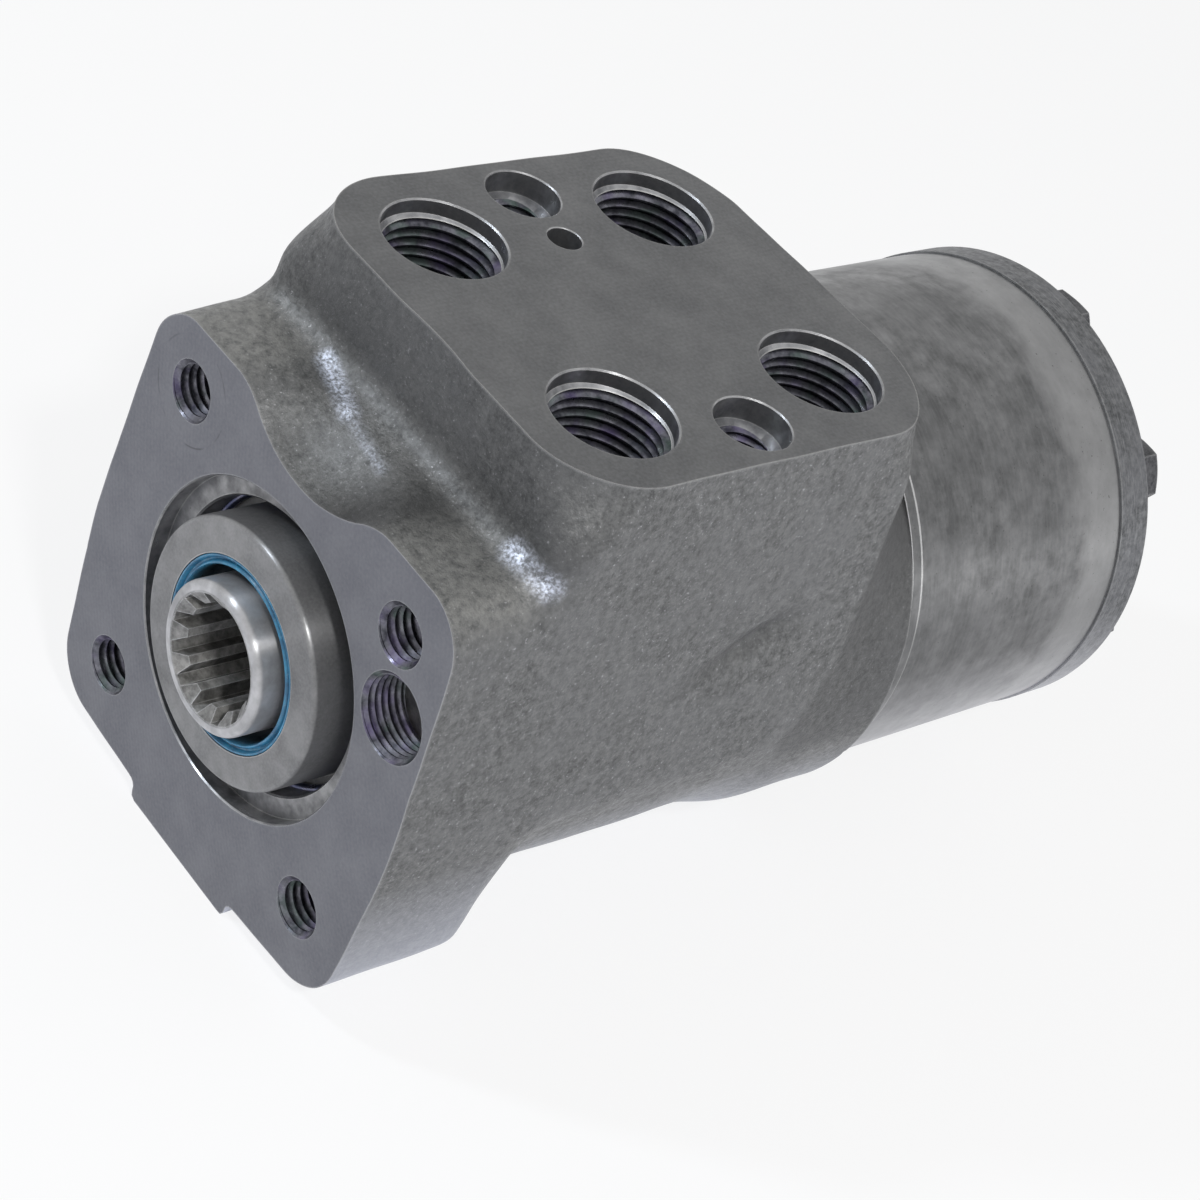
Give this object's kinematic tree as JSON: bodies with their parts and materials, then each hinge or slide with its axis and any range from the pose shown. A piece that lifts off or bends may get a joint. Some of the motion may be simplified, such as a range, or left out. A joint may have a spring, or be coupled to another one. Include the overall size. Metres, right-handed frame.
{
  "type": "hydrostatic steering valve",
  "caption": "Hydrostatic steering valve: cast housing with threaded ports on top, splined rotary spool input and a gerotor metering set at the rear.",
  "frame": {"origin": "centre of the column mounting face on the spool axis", "axes": "+Y along the spool axis from the column face to the end cover, +Z out of the port face, +X to the side of the check valve"},
  "size_m": [0.0884, 0.1847, 0.105],
  "materials": {
    "cast": "as cast, grainy, with machined faces",
    "steel": "turned and ground",
    "spring_steel": "blued spring steel",
    "cage_brass": "stamped",
    "blue_seal": "satin",
    "seal_plastic": "smooth",
    "black_rubber": "satin",
    "ground_ring": "ground, lightly stained",
    "cover_steel": "dark, machined, with a rough rim",
    "screw_steel": "phosphated"
  },
  "bodies": {
    "housing": {"housing": "cast", "gland_ring": "steel", "dust_seal": "blue_seal", "shaft_seal": "seal_plastic", "seal_energiser": "black_rubber", "gland_oring": "black_rubber", "retaining_ring": "spring_steel", "outer_race": "steel", "check_bush": "steel", "housing_oring": "black_rubber", "distributor_plate": "ground_ring", "ring_front_oring": "black_rubber", "gear_ring": "ground_ring", "ring_rear_oring": "black_rubber", "end_cover": "cover_steel", "cover_washers": "screw_steel", "cover_screws": "screw_steel", "pin_screw": "screw_steel"},
    "sleeve": {"sleeve": "steel", "spring_ring": "steel", "inner_race": "steel", "cross_pin": "steel"},
    "spool": {"spool": "steel", "curved_springs": "spring_steel", "flat_springs": "spring_steel"},
    "bearing_cage": {"needle_cage": "cage_brass", "thrust_needles": "steel"},
    "rotor_spacer": {"rotor_spacer": "steel"},
    "rotor": {"rotor": "steel"},
    "drive_shaft": {"drive_shaft": "steel"},
    "check_ball": {"check_ball": "steel"}
  },
  "joints": [
    {"name": "sleeve_turn", "type": "hinge", "parent": "housing", "child": "sleeve", "pos_m": [0, 0.062, 0], "axis": [0, 1, 0], "continuous": true},
    {"name": "spool_turn", "type": "hinge", "parent": "sleeve", "child": "spool", "pos_m": [0, 0.062, 0], "axis": [0, 1, 0], "range_deg": [-11, 11], "stiffness_Nm_per_rad": 8, "deforming": ["curved_springs", "flat_springs"]},
    {"name": "cage_turn", "type": "hinge", "parent": "housing", "child": "bearing_cage", "pos_m": [0, 0.016, 0], "axis": [0, 1, 0], "continuous": true},
    {"name": "rotor_orbit", "type": "hinge", "parent": "housing", "child": "rotor_spacer", "pos_m": [0, 0.1239, 0], "axis": [0, 1, 0], "continuous": true},
    {"name": "rotor_turn", "type": "hinge", "parent": "rotor_spacer", "child": "rotor", "pos_m": [0, 0.1239, 0.0035], "axis": [0, 1, 0], "continuous": true},
    {"name": "shaft_turn", "type": "hinge", "parent": "rotor_spacer", "child": "drive_shaft", "pos_m": [0, 0.062, 0], "axis": [0, 0.9984, 0.0565], "continuous": true},
    {"name": "check_ball_slide", "type": "slide", "parent": "housing", "child": "check_ball", "axis": [0, -1, 0], "range_m": [0, 0.0012]}
  ],
  "couplings": [
    {"joint": "cage_turn", "follows": "sleeve_turn", "ratio": 0.5},
    {"joint": "rotor_orbit", "follows": "sleeve_turn", "ratio": -6},
    {"joint": "rotor_turn", "follows": "sleeve_turn", "ratio": 7},
    {"joint": "shaft_turn", "follows": "sleeve_turn", "ratio": 7}
  ]
}
